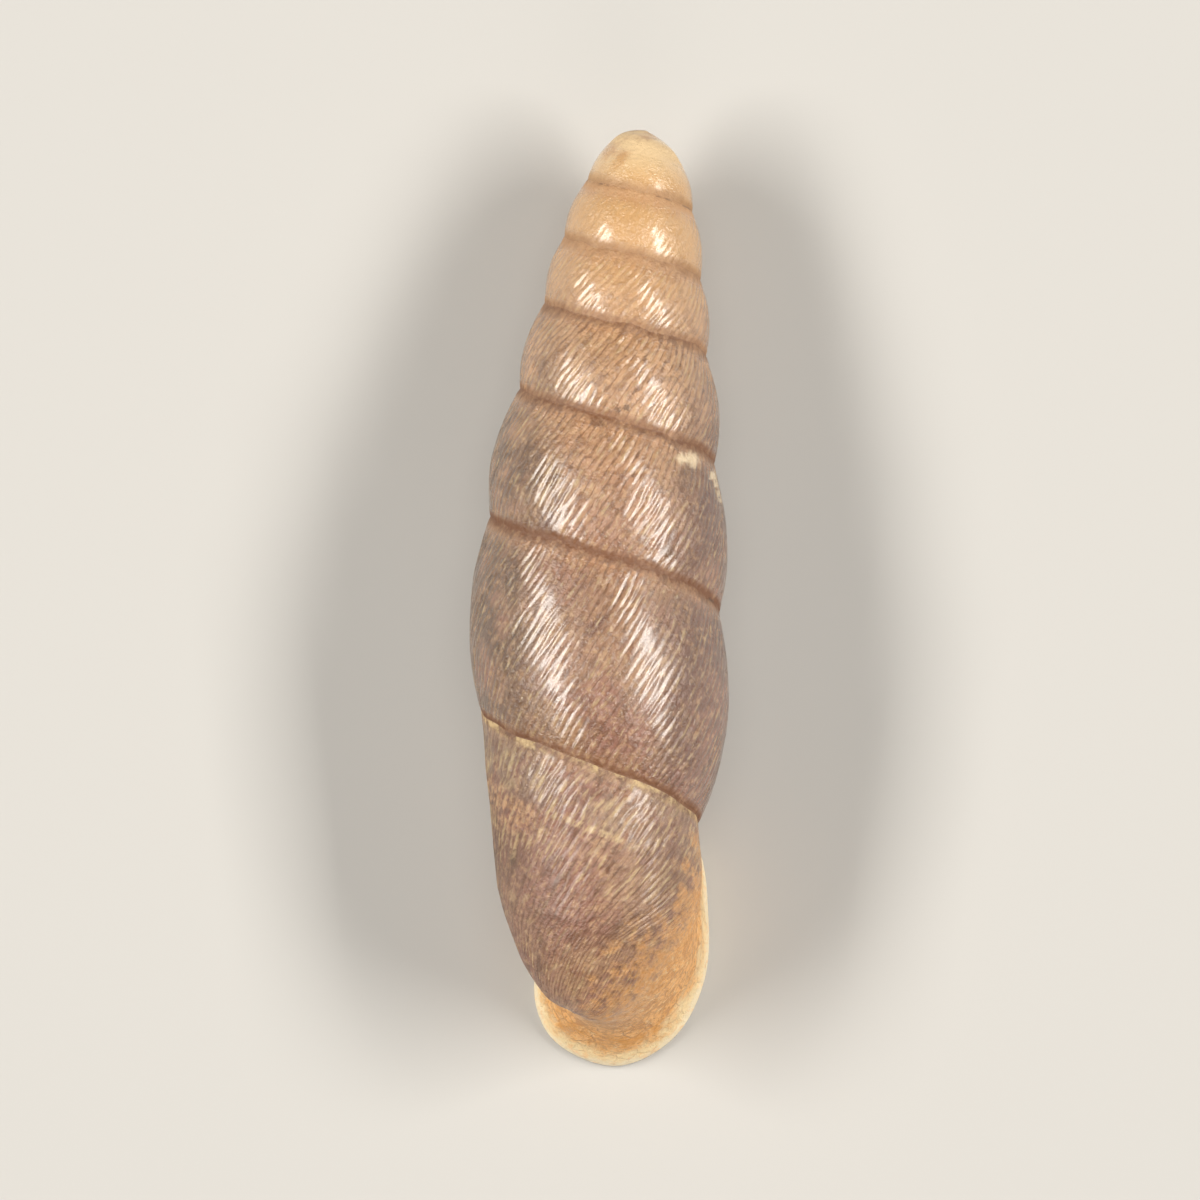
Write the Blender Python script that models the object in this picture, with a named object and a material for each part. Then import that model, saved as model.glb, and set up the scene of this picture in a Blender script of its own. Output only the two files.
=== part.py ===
"""A door-snail shell, long, spindle-shaped and left-handed, lying on its mouth as it would on a table.

It grew as one piece and is one solid: a whorled outer wall that winds down from the tip, a free lip round
the mouth, and the hollow tube that runs from the mouth back up the spire.

A whorl is measured in a half plane through the coiling axis: depth along the axis from the tip, radius
away from it. Growth is counted in turns from the tip. The back is the side that faces up as the shell
lies, and azimuth runs from the back round by the right, the way this shell grew. Sizes are in mm.
"""
import math

import bpy
import numpy as np

MM = 0.001

MOUTH_AZIMUTH = 135 / 360
TURNS = 6.83 + MOUTH_AZIMUTH
RIGHT_SIDE = TURNS - MOUTH_AZIMUTH + 0.25

# The suture, the seam between one whorl and the next, at every half turn from the tip: (radius, depth).
# Past the mouth it goes on as the line where the last whorl's side turns in to its base.
SUTURE_STEP = 0.5
SUTURE = (
    (0.00, 0.00),
    (0.33, 0.08),
    (0.56, 0.36),
    (0.72, 0.74),
    (0.84, 1.09),
    (0.97, 1.60),
    (1.08, 2.08),
    (1.16, 2.61),
    (1.28, 3.18),
    (1.39, 3.86),
    (1.55, 4.73),
    (1.67, 5.77),
    (1.76, 6.86),
    (1.74, 8.55),
    (1.66, 10.06),
    (1.28, 11.25),
    (1.42, 12.30),
    (1.48, 12.80),
)
# How far the coiling axis wanders to the right, at every 2 mm of depth.
BEND_STEP = 2.0
BEND = (-0.03, -0.08, -0.11, -0.11, 0.01, 0.06, 0.05, 0.00)

# Each whorl's swelling between its sutures, as a share of its height. The last whorl is flat on its left
# and swells again towards the mouth.
BULGE = 0.09
MOUTH_BULGE = 0.14
FLATTENING = 0.08
FLAT_TURN = 6.62
FLAT_STRETCH = 0.28
# How far growth lines trail from one suture to the next, in turns, and how much more on the last whorl.
TRAIL = 0.09
LAST_TRAIL = 0.12

# The wall between whorls hangs below the suture at its inner end by this share of the whorl's height.
HANG = 0.45
NAVEL_DEPTH = 13.10
BASE_SAG = 0.65

# The outer wall, the neck's wall behind the lip, and each whorl's half of the wall that it shares.
WALL = 0.14
NECK_WALL = 0.18
SHARED_WALL = 0.05
THIN_WALL_SHARE = 0.10
COLUMELLA_SHARE = 0.15
CORNER_SHARPNESS = 14
HOLLOW_STARTS = 1.0

# The lip's outer edge as seen from above, from the last suture's end round by the right: (right, depth).
LIP = (
    (1.05, 10.35),
    (1.72, 10.62),
    (1.97, 11.60),
    (2.00, 12.60),
    (1.62, 13.50),
    (0.80, 14.00),
    (-0.15, 13.72),
    (-0.54, 12.95),
    (-0.33, 11.90),
    (0.30, 10.85),
)
# The section across the lip: (out from its edge, up from its face). The flare behind it and the throat
# inside it are shortest at the top of the mouth, and the flare spreads by a share that changes round the
# lip, given at every eighth of it. The face is flat, and the shell rests on it.
FLARE = ((-0.42, 0.95), (-0.25, 0.55), (-0.12, 0.33))
SPREAD = (0.5, 0.35, 0.4, 0.8, 1.0, 0.9, 0.7, 0.6)
RIM = ((-0.02, 0.17), (0.00, 0.10), (-0.03, 0.02), (-0.10, 0.00), (-0.26, 0.00), (-0.33, 0.06))
THROAT = ((-0.37, 0.25), (-0.45, 0.62))
SHORTEST_FLARE = 0.6

# How far the tip is lower than it would be with the axis level.
TIP_DOWN = math.radians(2.6)

# Folds inside the mouth: (row, height, where each starts and ends, counted from the lip into the tube).
FOLDS = (
    (1.25, 0.30, 0.1, 1.6),
    (1.78, 0.22, 0.3, 1.6),
)
FOLD_HALF_WIDTH = 0.05
FOLD_END = 0.5

# Rows run down a whorl from suture to suture, and round its base to the axis, which is row 2.
SIDE_ROWS = (0, 0.09, 0.22, 0.36, 0.5, 0.64, 0.78, 0.91)
BASE_ROWS = (1, 1.11, 1.21, 1.25, 1.29, 1.4, 1.52, 1.64, 1.74, 1.78, 1.82, 1.91)
# Columns a turn, up to each count of turns.
COLUMNS = ((-1, 0), (1, 16), (3, 24), (TURNS - 1, 32))
LAST_COLUMNS = 34
NECK_RINGS = 5
RINGS_PER_TURN = 11
MOUTH_SHARE = 0.64


def smooth(low, high, x):
    f = np.clip((np.asarray(x, float) - low) / (high - low), 0, 1)
    return f * f * (3 - 2 * f)


def spline(knots, at, closed=False):
    """A smooth curve through evenly spaced knots, read at a number of steps from the first."""
    knots = np.asarray(knots, float)
    n = len(knots)
    at = np.asarray(at, float)
    if closed:
        i = np.floor(at).astype(int)
        p0, p1, p2, p3 = (knots[(i + k) % n] for k in (-1, 0, 1, 2))
    else:
        at = np.clip(at, 0, n - 1)
        i = np.minimum(at.astype(int), n - 2)
        p0, p1, p2, p3 = (knots[np.clip(i + k, 0, n - 1)] for k in (-1, 0, 1, 2))
    f = at - i
    if knots.ndim > 1:
        f = f[..., None]
    return hermite(p1, p2, (p2 - p0) / 2, (p3 - p1) / 2, f)


def hermite(start, end, leaving, arriving, f):
    return (
        (2 * f**3 - 3 * f**2 + 1) * start
        + (f**3 - 2 * f**2 + f) * leaving
        + (3 * f**2 - 2 * f**3) * end
        + (f**3 - f**2) * arriving
    )


def suture(t):
    both = spline(SUTURE, np.maximum(t, 0) / SUTURE_STEP)
    return both[..., 0], both[..., 1]


def underside(t, share):
    """(radius, depth) of a whorl's underside, from its lower suture at share 0 to the axis at 1.

    Higher up it is the wall between two whorls. On the last whorl it is the shell's base, hollowed beside
    the mouth and full on the side away from it.
    """
    r0, d0 = suture(t)
    r1, d1 = suture(t + 1)
    end = d1 + HANG * (d1 - d0)
    end = end + (NAVEL_DEPTH - end) * smooth(TURNS - 2, TURNS - 1, t)
    full = smooth(TURNS - 0.95, TURNS - 0.5, t)
    sag = BASE_SAG * smooth(TURNS - 0.65, TURNS - 0.15, t)
    shoulder_r, shoulder_d = r1 * (0.6 + 0.27 * full), d1 + (0.25 + 0.20 * full) * (end - d1)
    low_r, low_d = r1 * (0.1 + 0.33 * full), d1 + (0.55 + 0.55 * full) * (end - d1) + sag
    a, b, c, d = (1 - share) ** 3, 3 * share * (1 - share) ** 2, 3 * share**2 * (1 - share), share**3
    return r1 * a + shoulder_r * b + low_r * c, d1 * a + shoulder_d * b + low_d * c + end * d


def profile(t, row):
    """(radius, depth) of the outer wall: rows 0 to 1 are a whorl's side, rows 1 to 2 its underside."""
    t, row = np.broadcast_arrays(np.asarray(t, float), np.asarray(row, float))
    r0, d0 = suture(t)
    r1, d1 = suture(t + 1)
    down = np.clip(row, 0, 1)
    bulge = BULGE + (MOUTH_BULGE - BULGE) * smooth(RIGHT_SIDE - 0.15, TURNS, t)
    bulge = bulge - FLATTENING * np.exp(-(((t - FLAT_TURN) / FLAT_STRETCH) ** 2))
    swell = bulge * np.sin(math.pi * down**1.1) ** 0.8
    side_r = r0 + (r1 - r0) * down + swell * (d1 - d0)
    side_d = d0 + (d1 - d0) * down - swell * (r1 - r0)
    base_r, base_d = underside(t, np.clip(row - 1, 0, 1))
    return np.where(row > 1, base_r, side_r), np.where(row > 1, base_d, side_d)


def trail(t, row):
    """How far behind its growth line's top a row lies, in turns."""
    down = np.minimum(row, 1)
    last = LAST_TRAIL * smooth(TURNS - 0.65, TURNS - 0.25, t)
    return smooth(-1, 0.5, t) * (TRAIL * down + last * down**2)


def place(at, r, d, straight):
    """A point of the half plane at a turn, in the lying frame: right, depth from the tip, up.

    Past the right side the tube leaves the coil for the mouth, straight down where straight is 1.
    """
    angle = 2 * math.pi * (at - TURNS + MOUTH_AZIMUTH)
    right, back = r * np.sin(angle), r * np.cos(angle)
    right = right + np.where(at > RIGHT_SIDE, straight, 0) * (r - right)
    right = right + spline(BEND, d / BEND_STEP)
    c, s = math.cos(TIP_DOWN), math.sin(TIP_DOWN)
    return np.stack([right, d * c - back * s, back * c + d * s], axis=-1)


def wall(t, row):
    """A point of the outer wall, on the growth line that starts t turns from the tip."""
    t, row = np.broadcast_arrays(np.asarray(t, float), np.asarray(row, float))
    at = t - trail(t, row)
    r, d = profile(at, row)
    return place(at, r, d, smooth(0.1, 0.5, row) * (1 - smooth(1.4, 2.0, row)))


def ring_shares(rows):
    """How far round the mouth each row of its edge lies: down the side, along the base, back up inside."""
    return MOUTH_SHARE * rows / 2, 1 - (1 - MOUTH_SHARE) * (rows - 1)


def section_corners(t):
    """Where a whorl's side meets its two sutures, and where its underside meets the axis."""
    return suture(t), suture(t + 1), underside(t, 1.0)


def hollow(t, u):
    """A ring of the tube's hollow, rounded, a wall's thickness inside each face of the whorl."""
    bottom, inner = MOUTH_SHARE / 2, MOUTH_SHARE
    down = np.interp(u, (0, bottom, inner, (inner + 1) / 2), (0, 1, 1, 0))
    at = t - trail(t, down)
    radius = profile(at, 0.5)[0]
    thick = np.minimum(WALL, THIN_WALL_SHARE * radius)
    shared = np.minimum(SHARED_WALL, thick)
    under = shared + (thick - shared) * smooth(TURNS - 1.15, TURNS - 0.8, at)
    centre_r = 0.52 * radius
    centre_d = (underside(at - 1, 0.35)[1] + underside(at, 0.35)[1]) / 2
    upper, lower, end = (math.atan2(d - centre_d[0], r - centre_r[0]) for r, d in section_corners(t))
    angle = np.interp(u, (0, bottom, inner, 1), (upper, lower, end, upper + 2 * math.pi))
    x, y = np.cos(angle), np.sin(angle)
    faces = [(profile, at, row, 1, thick) for row in (0.2, 0.5, 0.8)]
    faces += [(profile, at, row, 1, under) for row in (1.25, 1.6)]
    faces.append((underside, at - 1, 0.35, -1, shared))
    crowding = np.zeros_like(x)
    for face, turn, where, outward, inset_by in faces:
        r, d = face(turn, where)
        r_next, d_next = face(turn, where + 0.01)
        out_r, out_d = outward * (d_next - d), -outward * (r_next - r)
        size = np.hypot(out_r, out_d)
        room = (out_r * (r - centre_r) + out_d * (d - centre_d)) / size - inset_by
        crowding += (np.maximum((out_r * x + out_d * y) / size, 0) / room) ** CORNER_SHARPNESS
    columella = COLUMELLA_SHARE * radius * (1 + smooth(TURNS - 1, TURNS - 0.3, at))
    crowding += (np.maximum(-x, 0) / (centre_r - columella)) ** CORNER_SHARPNESS
    reach = crowding ** (-1 / CORNER_SHARPNESS)
    r, d = centre_r + reach * x, centre_d + reach * y
    return place(at, r, d, smooth(0.1, 0.5, down) * smooth(0, 0.6, r / radius))


def lip_ring(u, out, up, floor):
    """A ring that follows the lip's edge, a little out from it and up from the floor it lies on."""
    step = 0.004
    edge = spline(LIP, u * len(LIP), closed=True)
    run = spline(LIP, (u + step) * len(LIP), closed=True) - edge
    run /= np.linalg.norm(run, axis=-1, keepdims=True)
    edge = edge + np.reshape(out, (-1, 1)) * np.stack([run[:, 1], -run[:, 0]], axis=-1)
    return np.column_stack([edge, np.broadcast_to(floor + up, len(u))])


def neck(first, before_first, last, before_last, easing):
    """Rings from the coil's end to the lip, which leave and arrive along the surfaces that they join."""
    reach = np.linalg.norm(last - first, axis=1, keepdims=True)
    leaving, arriving = first - before_first, last - before_last
    leaving *= reach / (np.linalg.norm(leaving, axis=1, keepdims=True) + 1e-9)
    arriving *= reach / np.linalg.norm(arriving, axis=1, keepdims=True)
    leaving = leaving * easing + (last - first) * (1 - easing)
    return [hermite(first, last, leaving, arriving, k / NECK_RINGS) for k in range(1, NECK_RINGS + 1)]


def inset(ring, next_ring):
    """A ring moved a wall's thickness into the tube, square to the outside."""
    along = next_ring - ring
    ahead = np.cross(np.roll(ring, -1, axis=0) - ring, along)
    behind = np.cross(ring - np.roll(ring, 1, axis=0), along)
    ahead /= np.linalg.norm(ahead, axis=1, keepdims=True)
    behind /= np.linalg.norm(behind, axis=1, keepdims=True)
    middle = ahead + behind
    middle /= np.linalg.norm(middle, axis=1, keepdims=True)
    corner = np.maximum((middle * ahead).sum(axis=1, keepdims=True), 0.8)
    return ring + middle * NECK_WALL / corner


def raise_folds(ring, u, inward):
    """Push a ring in at each fold. Inward counts from 0 at the lip to 1 at the coil's end, then turns."""
    centre = ring.mean(axis=0)
    ring = ring.copy()
    for row, height, start, stop in FOLDS:
        share = ring_shares(np.array(row))[1]
        away = (u - share) / (FOLD_HALF_WIDTH * (1 - MOUTH_SHARE))
        rise = height * smooth(start, start + FOLD_END, inward) * (1 - smooth(stop - FOLD_END, stop, inward))
        push = rise * np.exp(-(away**2) * 3)[:, None]
        run = centre - ring
        ring += push * run / np.linalg.norm(run, axis=1, keepdims=True)
    return ring


class Net:
    """The points and faces of the mesh as they are made."""

    def __init__(self):
        self.points, self.faces = [], []

    def add(self, points):
        first = len(self.points)
        self.points.extend(np.asarray(points, float).reshape(-1, 3))
        return list(range(first, len(self.points)))

    def face(self, *corners):
        kept = [c for i, c in enumerate(corners) if c != corners[i - 1]]
        if len(kept) > 2:
            self.faces.append(kept)

    def strip(self, left, right, closed=False):
        """Faces between two columns of points that run down, or between two rings."""
        count = len(left)
        for i in range(count if closed else count - 1):
            j = (i + 1) % count
            self.face(left[i], left[j], right[j], right[i])

    def lace(self, upper, lower):
        """Triangles between two rows of (turn, point) that don't step together."""
        i = j = 0
        while i + 1 < len(upper) or j + 1 < len(lower):
            upper_is_done = i + 1 == len(upper)
            if upper_is_done or (j + 1 < len(lower) and lower[j + 1][0] <= upper[i + 1][0]):
                self.face(upper[i][1], lower[j][1], lower[j + 1][1])
                j += 1
            else:
                self.face(upper[i][1], lower[j][1], upper[i + 1][1])
                i += 1


def growth_lines():
    """Turns at which the mesh has a column: those above the last seam's end, and those after it."""
    turns = [-1.0]
    for (start, _), (stop, per_turn) in zip(COLUMNS, COLUMNS[1:]):
        turns.extend(np.linspace(start, stop, round((stop - start) * per_turn) + 1)[1:])
    seam_end = TURNS - 1
    for _ in range(30):
        seam_end = TURNS - 1 + trail(seam_end, 1.0)
    turns.extend(np.linspace(turns[-1], seam_end, 5)[1:])
    after = np.linspace(seam_end, TURNS, round((TURNS - seam_end) * LAST_COLUMNS) + 1)[1:]
    return turns, list(after)


def outer_wall(net):
    """The wall from the tip to the mouth. Returns the edge that it leaves open there, as a ring."""
    before, after = growth_lines()
    tip = net.add(wall(-1.0, 0.0))
    navel = net.add(wall(TURNS, 2.0))
    columns = []
    for t in before + after:
        top = tip if t <= 0 else net.add(wall(t, 0.0))
        columns.append(tip * len(SIDE_ROWS) if t == -1 else top + net.add(wall(t, SIDE_ROWS[1:])))
    for left, right in zip(columns, columns[1:]):
        net.strip(left, right)
    last_row = SIDE_ROWS[-1]
    upper = [(t - trail(t, last_row) + 1, column[-1]) for t, column in zip(before, columns)]
    lower = [(t, column[0]) for t, column in zip(before + after, columns) if t >= 0]
    net.lace(upper, lower)
    seam, mouth = columns[len(before) - 1], columns[-1]
    inner = [seam[-1], mouth[0]] + net.add(wall(before[-1], BASE_ROWS[1:])) + navel
    base = [inner]
    for t, column in zip(after, columns[len(before) :]):
        base.append([column[-1]] + net.add(wall(t, BASE_ROWS)) + navel)
    for left, right in zip(base, base[1:]):
        net.strip(left, right)
    return mouth + base[-1][1:] + inner[-2:1:-1]


def build():
    net = Net()
    edge = outer_wall(net)
    floor = min(point[2] for point in net.points)
    rows_down = np.array(SIDE_ROWS + BASE_ROWS)
    rows_back = np.array((2.0,) + BASE_ROWS[:0:-1])
    u = np.concatenate([ring_shares(rows_down)[0], ring_shares(rows_back)[1]])
    length = SHORTEST_FLARE + (1 - SHORTEST_FLARE) * np.sin(math.pi * u) ** 2
    spread = spline(SPREAD, u * len(SPREAD), closed=True)
    flare = [lip_ring(u, out * spread, up * length, floor) for out, up in FLARE]
    rim = [lip_ring(u, out, up, floor) for out, up in RIM]
    throat = [lip_ring(u, out, up * length, floor) for out, up in THROAT]
    easing = smooth(0.2, 0.7, rows_down) * (1 - smooth(1.2, 1.9, rows_down))
    easing = np.concatenate([easing, 0 * rows_back])[:, None]
    start = np.array(net.points)[edge]
    before_start = start.copy()
    before_start[: len(rows_down)] = wall(TURNS - 0.02, rows_down)
    outside = neck(start, before_start, flare[0], 2 * flare[0] - flare[1], easing)
    stages = [start] + outside + flare[1:2]
    inside = [inset(ring, next_ring) for ring, next_ring in zip(stages, stages[1:])]
    turns = np.arange(TURNS - 1 / RINGS_PER_TURN, HOLLOW_STARTS, -1 / RINGS_PER_TURN)
    rings = [edge] + [net.add(ring) for ring in outside + flare[1:] + rim + throat]
    for k, ring in enumerate(inside[::-1]):
        rings.append(net.add(raise_folds(ring, u, (k + 1) / len(inside))))
    for t in turns:
        rings.append(net.add(raise_folds(hollow(t, u), u, 1 + TURNS - t)))
    for first, second in zip(rings, rings[1:]):
        net.strip(first, second, closed=True)
    end = net.add(np.array(net.points)[rings[-1]].mean(axis=0))
    net.strip(rings[-1], end * len(u), closed=True)
    return net, floor


def main():
    for old in list(bpy.data.objects):
        bpy.data.objects.remove(old)
    net, floor = build()
    points = np.array(net.points)
    middle = (points.max(axis=0) + points.min(axis=0)) / 2
    right, towards_tip, up = points[:, 0] - middle[0], middle[1] - points[:, 1], points[:, 2] - floor
    mesh = bpy.data.meshes.new("shell")
    mesh.from_pydata((np.column_stack([right, towards_tip, up]) * MM).tolist(), [], net.faces)
    mesh.shade_smooth()
    mesh.materials.append(shell_material())
    group = bpy.data.collections.new("Door snail shell")
    bpy.context.scene.collection.children.link(group)
    group.objects.link(bpy.data.objects.new("shell", mesh))


def shell_material():
    material = bpy.data.materials.new("satin brown shell")
    material.use_nodes = True
    surface = material.node_tree.nodes["Principled BSDF"]
    surface.inputs["Base Color"].default_value = (0.36, 0.21, 0.15, 1)
    surface.inputs["Roughness"].default_value = 0.4
    surface.inputs["Metallic"].default_value = 0.0
    return material


if __name__ == "__main__":
    main()
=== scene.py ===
"""How a door-snail shell looks: its ribbed surface, colours and light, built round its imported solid.

The surface is made again from the curves that the solid is made from, fine enough for the growth ribs.
A whorl is measured in a half plane through the coiling axis: depth along the axis from the tip, radius
away from it. Growth is counted in turns from the tip, and rows run down a whorl from seam to seam. Shapes
are in mm until the mesh is made.
"""
import math

import bpy
import numpy as np
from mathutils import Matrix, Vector


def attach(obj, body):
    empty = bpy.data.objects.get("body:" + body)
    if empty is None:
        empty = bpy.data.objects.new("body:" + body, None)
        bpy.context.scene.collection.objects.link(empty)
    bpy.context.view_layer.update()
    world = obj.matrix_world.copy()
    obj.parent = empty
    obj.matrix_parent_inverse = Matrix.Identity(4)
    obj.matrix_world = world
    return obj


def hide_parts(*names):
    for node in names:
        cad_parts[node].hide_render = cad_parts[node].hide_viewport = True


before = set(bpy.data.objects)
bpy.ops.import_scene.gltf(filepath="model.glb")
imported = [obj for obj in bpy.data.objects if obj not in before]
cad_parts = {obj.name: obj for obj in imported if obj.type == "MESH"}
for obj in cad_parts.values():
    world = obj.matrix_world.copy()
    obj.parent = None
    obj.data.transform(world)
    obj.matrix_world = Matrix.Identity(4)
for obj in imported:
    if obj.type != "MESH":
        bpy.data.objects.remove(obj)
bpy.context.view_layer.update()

MM = 0.001

# The shell's curves, as in the solid.
MOUTH_AZIMUTH = 135 / 360
TURNS = 6.83 + MOUTH_AZIMUTH
RIGHT_SIDE = TURNS - MOUTH_AZIMUTH + 0.25
SUTURE_STEP = 0.5
SUTURE = (
    (0.00, 0.00),
    (0.33, 0.08),
    (0.56, 0.36),
    (0.72, 0.74),
    (0.84, 1.09),
    (0.97, 1.60),
    (1.08, 2.08),
    (1.16, 2.61),
    (1.28, 3.18),
    (1.39, 3.86),
    (1.55, 4.73),
    (1.67, 5.77),
    (1.76, 6.86),
    (1.74, 8.55),
    (1.66, 10.06),
    (1.28, 11.25),
    (1.42, 12.30),
    (1.48, 12.80),
)
BEND_STEP = 2.0
BEND = (-0.03, -0.08, -0.11, -0.11, 0.01, 0.06, 0.05, 0.00)
BULGE = 0.09
MOUTH_BULGE = 0.14
FLATTENING = 0.08
FLAT_TURN = 6.62
FLAT_STRETCH = 0.28
TRAIL = 0.09
LAST_TRAIL = 0.12
HANG = 0.45
NAVEL_DEPTH = 13.10
BASE_SAG = 0.65
WALL = 0.14
NECK_WALL = 0.18
SHARED_WALL = 0.05
THIN_WALL_SHARE = 0.10
COLUMELLA_SHARE = 0.15
CORNER_SHARPNESS = 14
HOLLOW_STARTS = 1.0
LIP = (
    (1.05, 10.35),
    (1.72, 10.62),
    (1.97, 11.60),
    (2.00, 12.60),
    (1.62, 13.50),
    (0.80, 14.00),
    (-0.15, 13.72),
    (-0.54, 12.95),
    (-0.33, 11.90),
    (0.30, 10.85),
)
FLARE = ((-0.42, 0.95), (-0.25, 0.55), (-0.12, 0.33))
SPREAD = (0.5, 0.35, 0.4, 0.8, 1.0, 0.9, 0.7, 0.6)
RIM = ((-0.02, 0.17), (0.00, 0.10), (-0.03, 0.02), (-0.10, 0.00), (-0.26, 0.00), (-0.33, 0.06))
THROAT = ((-0.37, 0.25), (-0.45, 0.62))
SHORTEST_FLARE = 0.6
TIP_DOWN = math.radians(2.6)
FOLDS = (
    (1.25, 0.30, 0.1, 1.6),
    (1.78, 0.22, 0.3, 1.6),
)
FOLD_HALF_WIDTH = 0.05
FOLD_END = 0.5
MOUTH_SHARE = 0.64

# Ribs: their spacing and height in mm, how far they trail in turns, and how the mesh is cut for them.
RIB_SPACING = 0.122
RIB_HEIGHT = 0.017
UPPER_RIB_LEAN = 0.095
RIB_LEAN = 0.145
LAST_RIB_LEAN = 0.12
BASE_LEAN = 1.1
SEAM_GROOVE = 0.002
SEAM_WAVE = 0.022
SEAM_REACH = 0.09
NECK_RIBS = 19
STEPS_PER_RIB = 5
SIDE_STEPS = 26
BASE_STEPS = 24
RIM_STEPS = 3
INSIDE_STEPS = 3
HOLLOW_RINGS_PER_TURN = 12
NECK_RINGS = 5
# How much closer together the rows lie near the seams: 0 is evenly spaced.
SEAM_CROWDING = 0.7
# Turns read where ribs are counted, and a radius in mm added there, because the tip itself has none.
CURVE_SAMPLES = 2000
ADDED_RADIUS = 0.02
# No growth line starts nearer to the last seam's end than this share of a step.
CLEAR_SHARE = 0.3
# Passes that find which growth line meets a seam, for the shape and for the unrolled skin.
SEAM_PASSES = 30
UNROLLING_PASSES = 4
# The hollow's middle, as a share of a whorl's radius, and the share of an underside that bounds it.
HOLLOW_MIDDLE = 0.52
HOLLOW_ROOF = 0.35
# How far before its end, in turns, the coil's direction is read for the neck.
NECK_LOOKS_BACK = 0.02
# The least cosine that a ring's corner counts with, so that no corner moves in too far.
SHARPEST_CORNER = 0.8
# How far back from the coil's end, in turns, the hollow of the neck joins the hollow of the coil.
TUBE_JOINS = 1 / 11
LIP_END = len(FLARE + RIM + THROAT)
# Ripples: height, radians to a rib, radians to a mm down the whorl, seed. A wobble is in ribs, a change is
# a share of the ribs' height, and a swell is in mm.
RIB_WOBBLE = ((0.30, 0.3, 3.0, 1), (0.17, 1.3, 12, 2))
RIB_CHANGES = ((0.34, 0.7, 4, 3), (0.55, 2.3, 14, 4))
SWELLS = ((0.012, 0.22, 1.4, 5),)
# The ribs' usual height, as a share of the full one, and its limits.
RIB_SHARE = 0.62
LEAST_RIB, MOST_RIB = 0.02, 1.4
RIB_SHARPNESS = 1.2
NECK_ROUGHNESS = 0.006
# A distance, in mm, for points that have no seam near them, and the way round the mouth.
NO_SEAM = 9
MOUTH_GIRTH = 9
# The unrolled skin's strips: nine turns of the coil from the tip, the base, the neck, the lip, the inside.
COIL_STRIPS = 9
STRIP_HEIGHTS = (0.2, 0.35, 0.5, 0.85, 1.05, 1.15, 1.75, 2.7, 3.0, 2.2, 2.5, 2.0, 2.0)
SIDE_GAP = 0.015
STRIP_GAP = 0.01


def smooth(low, high, x):
    f = np.clip((np.asarray(x, float) - low) / (high - low), 0, 1)
    return f * f * (3 - 2 * f)


def hermite(start, end, leaving, arriving, f):
    return (
        (2 * f**3 - 3 * f**2 + 1) * start
        + (f**3 - 2 * f**2 + f) * leaving
        + (3 * f**2 - 2 * f**3) * end
        + (f**3 - f**2) * arriving
    )


def spline(knots, at, closed=False):
    """A smooth curve through evenly spaced knots, read at a number of steps from the first."""
    knots = np.asarray(knots, float)
    n = len(knots)
    at = np.asarray(at, float)
    if closed:
        i = np.floor(at).astype(int)
        p0, p1, p2, p3 = (knots[(i + k) % n] for k in (-1, 0, 1, 2))
    else:
        at = np.clip(at, 0, n - 1)
        i = np.minimum(at.astype(int), n - 2)
        p0, p1, p2, p3 = (knots[np.clip(i + k, 0, n - 1)] for k in (-1, 0, 1, 2))
    f = (at - i).reshape(at.shape + (1,) * (knots.ndim - 1))
    return hermite(p1, p2, (p2 - p0) / 2, (p3 - p1) / 2, f)


def suture(t):
    both = spline(SUTURE, np.maximum(t, 0) / SUTURE_STEP)
    return both[..., 0], both[..., 1]


def underside(t, share):
    """(radius, depth) of a whorl's underside, from its lower suture at share 0 to the axis at 1."""
    r0, d0 = suture(t)
    r1, d1 = suture(t + 1)
    end = d1 + HANG * (d1 - d0)
    end = end + (NAVEL_DEPTH - end) * smooth(TURNS - 2, TURNS - 1, t)
    full = smooth(TURNS - 0.95, TURNS - 0.5, t)
    sag = BASE_SAG * smooth(TURNS - 0.65, TURNS - 0.15, t)
    shoulder_r, shoulder_d = r1 * (0.6 + 0.27 * full), d1 + (0.25 + 0.20 * full) * (end - d1)
    low_r, low_d = r1 * (0.1 + 0.33 * full), d1 + (0.55 + 0.55 * full) * (end - d1) + sag
    a, b, c, d = (1 - share) ** 3, 3 * share * (1 - share) ** 2, 3 * share**2 * (1 - share), share**3
    return r1 * a + shoulder_r * b + low_r * c, d1 * a + shoulder_d * b + low_d * c + end * d


def profile(t, row):
    """(radius, depth) of the outer wall: rows 0 to 1 are a whorl's side, rows 1 to 2 its underside."""
    t, row = np.broadcast_arrays(np.asarray(t, float), np.asarray(row, float))
    r0, d0 = suture(t)
    r1, d1 = suture(t + 1)
    down = np.clip(row, 0, 1)
    bulge = BULGE + (MOUTH_BULGE - BULGE) * smooth(RIGHT_SIDE - 0.15, TURNS, t)
    bulge = bulge - FLATTENING * np.exp(-(((t - FLAT_TURN) / FLAT_STRETCH) ** 2))
    swell = bulge * np.sin(math.pi * down**1.1) ** 0.8
    side_r = r0 + (r1 - r0) * down + swell * (d1 - d0)
    side_d = d0 + (d1 - d0) * down - swell * (r1 - r0)
    base_r, base_d = underside(t, np.clip(row - 1, 0, 1))
    return np.where(row > 1, base_r, side_r), np.where(row > 1, base_d, side_d)


def trail(t, row):
    """How far behind its growth line's top a row lies, in turns."""
    down = np.minimum(row, 1)
    last = LAST_TRAIL * smooth(TURNS - 0.65, TURNS - 0.25, t)
    return smooth(-1, 0.5, t) * (TRAIL * down + last * down**2)


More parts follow.
